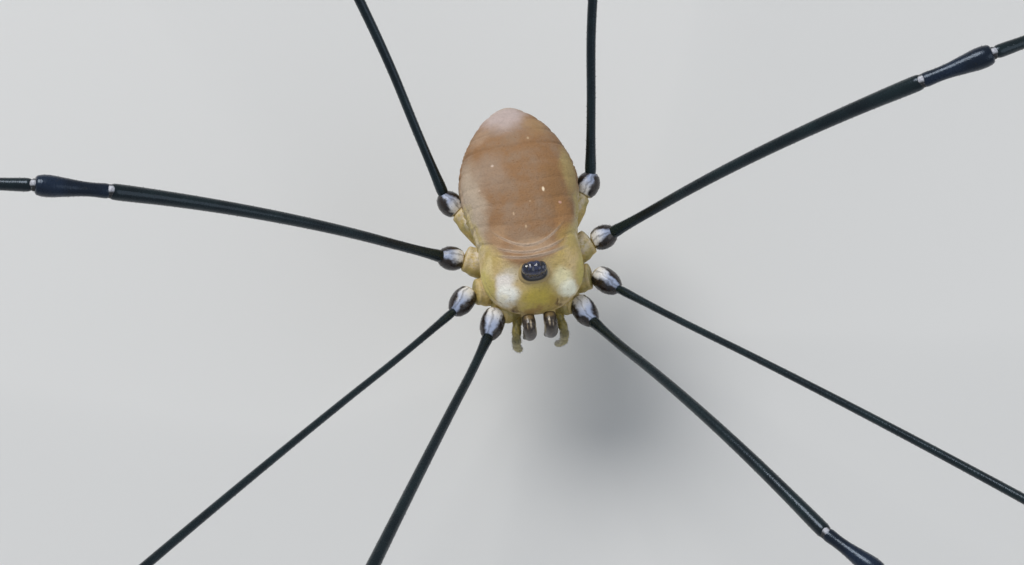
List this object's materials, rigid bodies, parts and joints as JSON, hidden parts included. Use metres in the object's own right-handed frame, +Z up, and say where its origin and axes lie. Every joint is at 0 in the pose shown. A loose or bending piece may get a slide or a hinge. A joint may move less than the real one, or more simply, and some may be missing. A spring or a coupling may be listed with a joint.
{
  "type": "harvestman",
  "caption": "Still life-size harvestman standing on its feet: small oval brown body, dark eye mound, short mouthparts and very long thin jointed legs.",
  "frame": {"origin": "on the floor, at the centre of the footprint of the whole animal, legs included", "axes": "+Z up, the head towards -Y, the animal's left side towards +X"},
  "size_m": [0.096, 0.0782, 0.01],
  "materials": {
    "body_brown": "matt reddish brown cuticle with fine granules",
    "carapace_gold": "satin golden olive cuticle with cream patches",
    "mound_black": "glossy blue-black cuticle",
    "eye_black": "polished black lens",
    "chelicera_brown": "glossy dark brown cuticle",
    "palp_brown": "satin brown cuticle with short hairs",
    "trochanter_black": "glossy brown-black cuticle with a pale band",
    "leg_black": "satin greenish black cuticle",
    "tarsus_brown": "dull brown-black, ringed and finely haired"
  },
  "bodies": {
    "root": {"cephalothorax": "carapace_gold", "abdomen": "body_brown", "eye_mound": "mound_black", "eye_left": "eye_black", "chelicera_left": "chelicera_brown", "pedipalp_left": "palp_brown", "leg1_left_trochanter": "trochanter_black", "leg1_left_femur": "leg_black", "leg1_left_patella": "leg_black", "leg1_left_tibia": "leg_black", "leg1_left_metatarsus": "leg_black", "leg1_left_tarsus": "tarsus_brown", "leg2_left_trochanter": "trochanter_black", "leg2_left_femur": "leg_black", "leg2_left_patella": "leg_black", "leg2_left_tibia": "leg_black", "leg2_left_metatarsus": "leg_black", "leg2_left_tarsus": "tarsus_brown", "leg3_left_trochanter": "trochanter_black", "leg3_left_femur": "leg_black", "leg3_left_patella": "leg_black", "leg3_left_tibia": "leg_black", "leg3_left_metatarsus": "leg_black", "leg3_left_tarsus": "tarsus_brown", "leg4_left_trochanter": "trochanter_black", "leg4_left_femur": "leg_black", "leg4_left_patella": "leg_black", "leg4_left_tibia": "leg_black", "leg4_left_metatarsus": "leg_black", "leg4_left_tarsus": "tarsus_brown", "eye_right": "eye_black", "chelicera_right": "chelicera_brown", "pedipalp_right": "palp_brown", "leg1_right_trochanter": "trochanter_black", "leg1_right_femur": "leg_black", "leg1_right_patella": "leg_black", "leg1_right_tibia": "leg_black", "leg1_right_metatarsus": "leg_black", "leg1_right_tarsus": "tarsus_brown", "leg2_right_trochanter": "trochanter_black", "leg2_right_femur": "leg_black", "leg2_right_patella": "leg_black", "leg2_right_tibia": "leg_black", "leg2_right_metatarsus": "leg_black", "leg2_right_tarsus": "tarsus_brown", "leg3_right_trochanter": "trochanter_black", "leg3_right_femur": "leg_black", "leg3_right_patella": "leg_black", "leg3_right_tibia": "leg_black", "leg3_right_metatarsus": "leg_black", "leg3_right_tarsus": "tarsus_brown", "leg4_right_trochanter": "trochanter_black", "leg4_right_femur": "leg_black", "leg4_right_patella": "leg_black", "leg4_right_tibia": "leg_black", "leg4_right_metatarsus": "leg_black", "leg4_right_tarsus": "tarsus_brown"}
  },
  "joints": []
}
